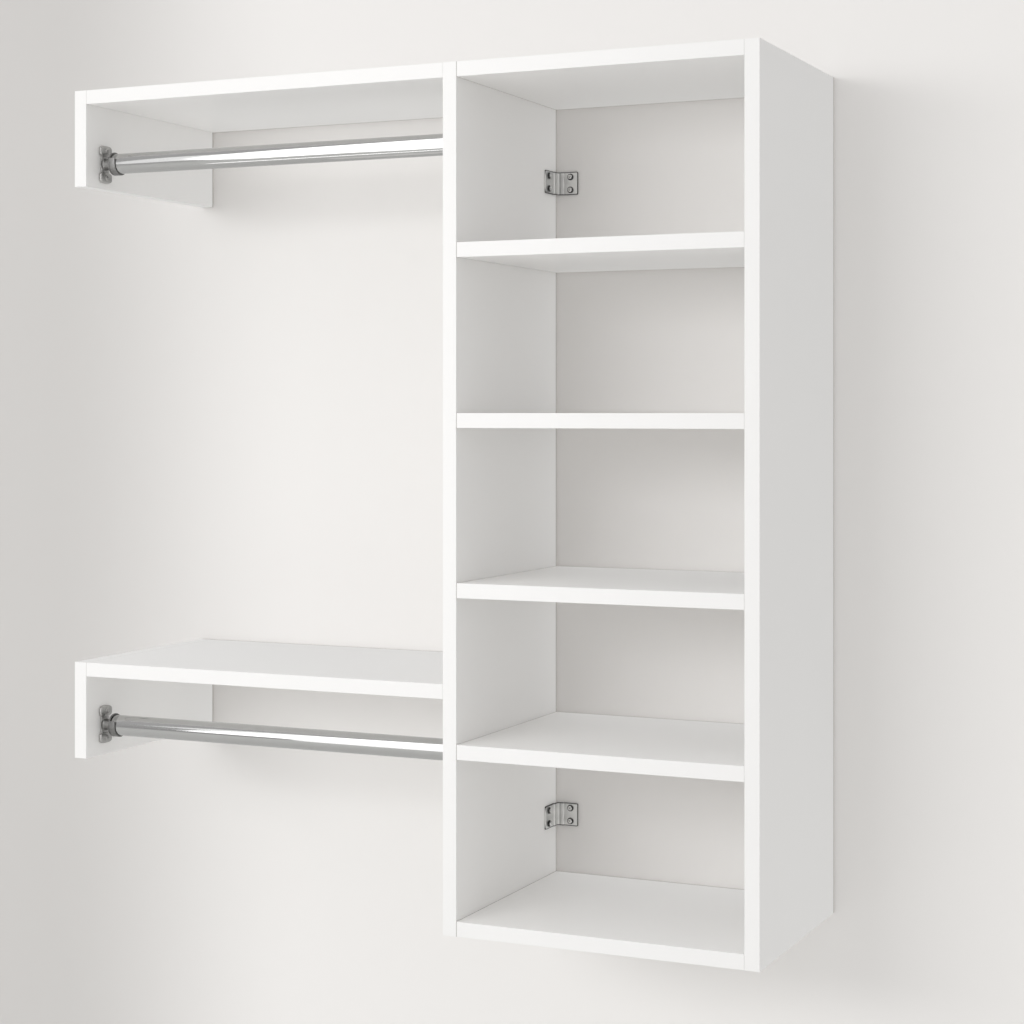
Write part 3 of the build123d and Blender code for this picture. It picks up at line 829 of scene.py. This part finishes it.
# Stage: a plain painted wall that the rack hangs on and a plain pale floor. The wall's colour darkens
# toward the left as painted shade, and the wall has one side, so that it doesn't stand in the way of a view
# from behind.
wall_y = 0.0002
wall_top = 4.0
floor_z = -1.35
room = 6.0
wall_colour = (0.872, 0.856, 0.841)
wall_in_shade = (0.610, 0.596, 0.582)
shade_run = {"From Min": -1.06, "From Max": -0.58}
floor_colour = (0.88, 0.88, 0.87)
floor_in_gloss = (0.68, 0.68, 0.67)


def flat_sheet(name, corners, finish):
    """One four-cornered face that belongs to the stage."""
    mesh = bpy.data.meshes.new(name)
    mesh.from_pydata(np.asarray(corners, float), [], [(0, 1, 2, 3)])
    mesh.materials.append(finish)
    sheet = bpy.data.objects.new(name, mesh)
    bpy.context.collection.objects.link(sheet)


wall_paint, tree, surface = new_finish("wall_paint", wall_colour, shine=0.0)
place, (x, _, _) = object_place(tree)
# Painted shade: the wall's colour darkens toward the left.
unshaded_share = Value.node(tree, "ShaderNodeMapRange", {"interpolation_type": "SMOOTHSTEP"},
                 {"Value": x, **shade_run})
feed(tree, surface, "Base Color", tint(tree, unshaded_share, wall_in_shade, wall_colour))
surface.inputs["Roughness"].default_value = 0.85
roller = noise(tree, place, 260.0, 3.0)
raise_surface(tree, surface, roller, 0.05 * MM, 0.3)
# Only the camera sees the wall, and only from the front. All other light passes through it, so the even
# room light also reaches the boards from behind and keeps the bays pale.
behind = Value.node(tree, "ShaderNodeNewGeometry", output="Backfacing")
seen = Value.node(tree, "ShaderNodeLightPath", output="Is Camera Ray")
through = Value.node(tree, "ShaderNodeBsdfTransparent")
painted = Value(tree, surface.outputs[0])
mixed = Value.node(tree, "ShaderNodeMixShader",
                   inputs={0: behind.larger(1 - seen), 1: painted, 2: through})
tree.links.new(mixed.socket, tree.nodes["Material Output"].inputs[0])
flat_sheet("wall", [(-room, wall_y, floor_z), (room, wall_y, floor_z), (room, wall_y, wall_top),
                    (-room, wall_y, wall_top)], wall_paint)

floor_finish, tree, surface = new_finish("floor_finish", floor_colour, shine=0.2)
surface.inputs["Roughness"].default_value = 0.8
mirrored = Value.node(tree, "ShaderNodeLightPath", output="Is Glossy Ray")
feed(tree, surface, "Base Color", tint(tree, mirrored, floor_colour, floor_in_gloss))
flat_sheet("floor", [(-room, -room, floor_z), (room, -room, floor_z), (room, room, floor_z),
                     (-room, room, floor_z)], floor_finish)

# Light: an even pale room, a little brighter above and darker on the right, and one broad lamp in front on
# the left, which nothing mirrors. The cards light nothing: they only show in the metal and the gloss.
room_light = 0.71
mirrored_room = 0.42
seen_room = 0.92
brighter_above = 0.17
darker_right = 0.06
world = bpy.data.worlds.new("room")
bpy.context.scene.world = world
world.use_nodes = True
tree = world.node_tree
background = tree.nodes["Background"]
background.inputs["Color"].default_value = (1.0, 0.995, 0.99, 1.0)
seen = Value.node(tree, "ShaderNodeLightPath", output="Is Camera Ray")
mirrored = Value.node(tree, "ShaderNodeLightPath", output="Is Glossy Ray")
direction = Value.node(tree, "ShaderNodeTexCoord", output="Generated")
to_right, rise = (Value.node(tree, "ShaderNodeSeparateXYZ", inputs={0: direction}, output=axis)
                  for axis in "XZ")
strength = (seen * (seen_room - room_light) + mirrored * (mirrored_room - room_light)
            + rise * brighter_above - to_right * darker_right + room_light)
tree.links.new(strength.socket, background.inputs["Strength"])


def soft_lamp(name, place, aim, width, height, power):
    """A rectangular lamp at a place, turned to face its aim."""
    light = bpy.data.lights.new(name, "AREA")
    light.shape = "RECTANGLE"
    light.size, light.size_y = width, height
    light.energy = power
    lamp = bpy.data.objects.new(name, light)
    lamp.location = place
    ahead = np.subtract(aim, place)
    tilt = np.arctan2(np.hypot(ahead[0], ahead[1]), -ahead[2])
    lamp.rotation_euler = (tilt, 0.0, np.arctan2(ahead[1], ahead[0]) - np.pi / 2)
    bpy.context.collection.objects.link(lamp)
    return lamp


key = soft_lamp("key_lamp", (-1.6, -3.7, 0.8), (-0.28, -0.16, 0.0), 2.6, 0.9, 42.0)
key.visible_glossy = False
cards = [
    soft_lamp("white_card", (-0.88, -1.38, 0.98), (-0.88, 0.0, 0.98), 0.88, 2.64, 14.5),
    soft_lamp("pale_card", (-0.76, -1.38, -0.48), (-0.76, 0.0, -0.48), 0.64, 0.28, 0.72),
    soft_lamp("grey_card", (-1.41, -1.38, 0.68), (-1.41, 0.0, 0.68), 0.18, 0.95, 0.40),
    soft_lamp("low_card", (-0.86, -0.63, -0.30), (-0.86, -0.62, 1.0), 0.50, 0.07, 0.24),
]
for card in cards:
    card.visible_diffuse = False
    card.visible_camera = False
